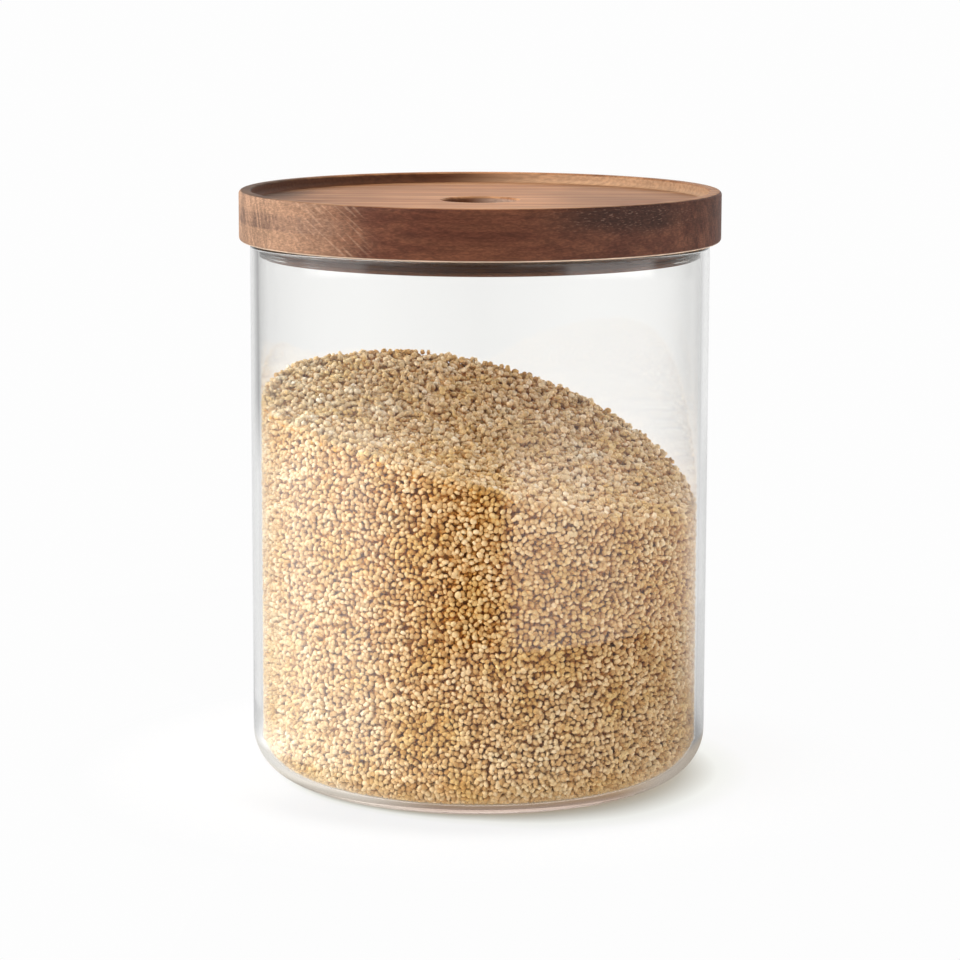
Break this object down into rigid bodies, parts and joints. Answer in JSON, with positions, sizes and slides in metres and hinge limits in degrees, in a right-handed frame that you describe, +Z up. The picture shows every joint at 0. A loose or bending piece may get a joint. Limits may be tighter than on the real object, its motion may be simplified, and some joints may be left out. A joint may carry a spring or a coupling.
{
  "type": "glass storage jar",
  "caption": "Straight-sided glass storage jar with a turned wooden lid, a recessed top with a finger hole, a ribbed silicone seal and a fill of pale grain.",
  "frame": {"origin": "middle of the jar's foot, on the surface it stands on", "axes": "+Z up along the jar's axis, -Y towards the side that the picture shows"},
  "size_m": [0.1152, 0.1152, 0.1417],
  "materials": {
    "clear_glass": "clear, fire-polished",
    "oiled_wood": "turned, sanded and oiled",
    "clear_silicone": "moulded, translucent",
    "grain": "dry, matt"
  },
  "bodies": {
    "jar": {"glass_jar": "clear_glass", "grain_fill": "grain"},
    "seal": {"lid_seal": "clear_silicone"},
    "lid": {"wood_lid": "oiled_wood"}
  },
  "joints": [
    {"name": "lid_lift", "type": "slide", "parent": "jar", "child": "seal", "axis": [0, 0, 1], "range_m": [0, 0.075]},
    {"name": "lid_turn", "type": "hinge", "parent": "seal", "child": "lid", "pos_m": [0, 0, 0.1297], "axis": [0, 0, 1], "continuous": true}
  ]
}
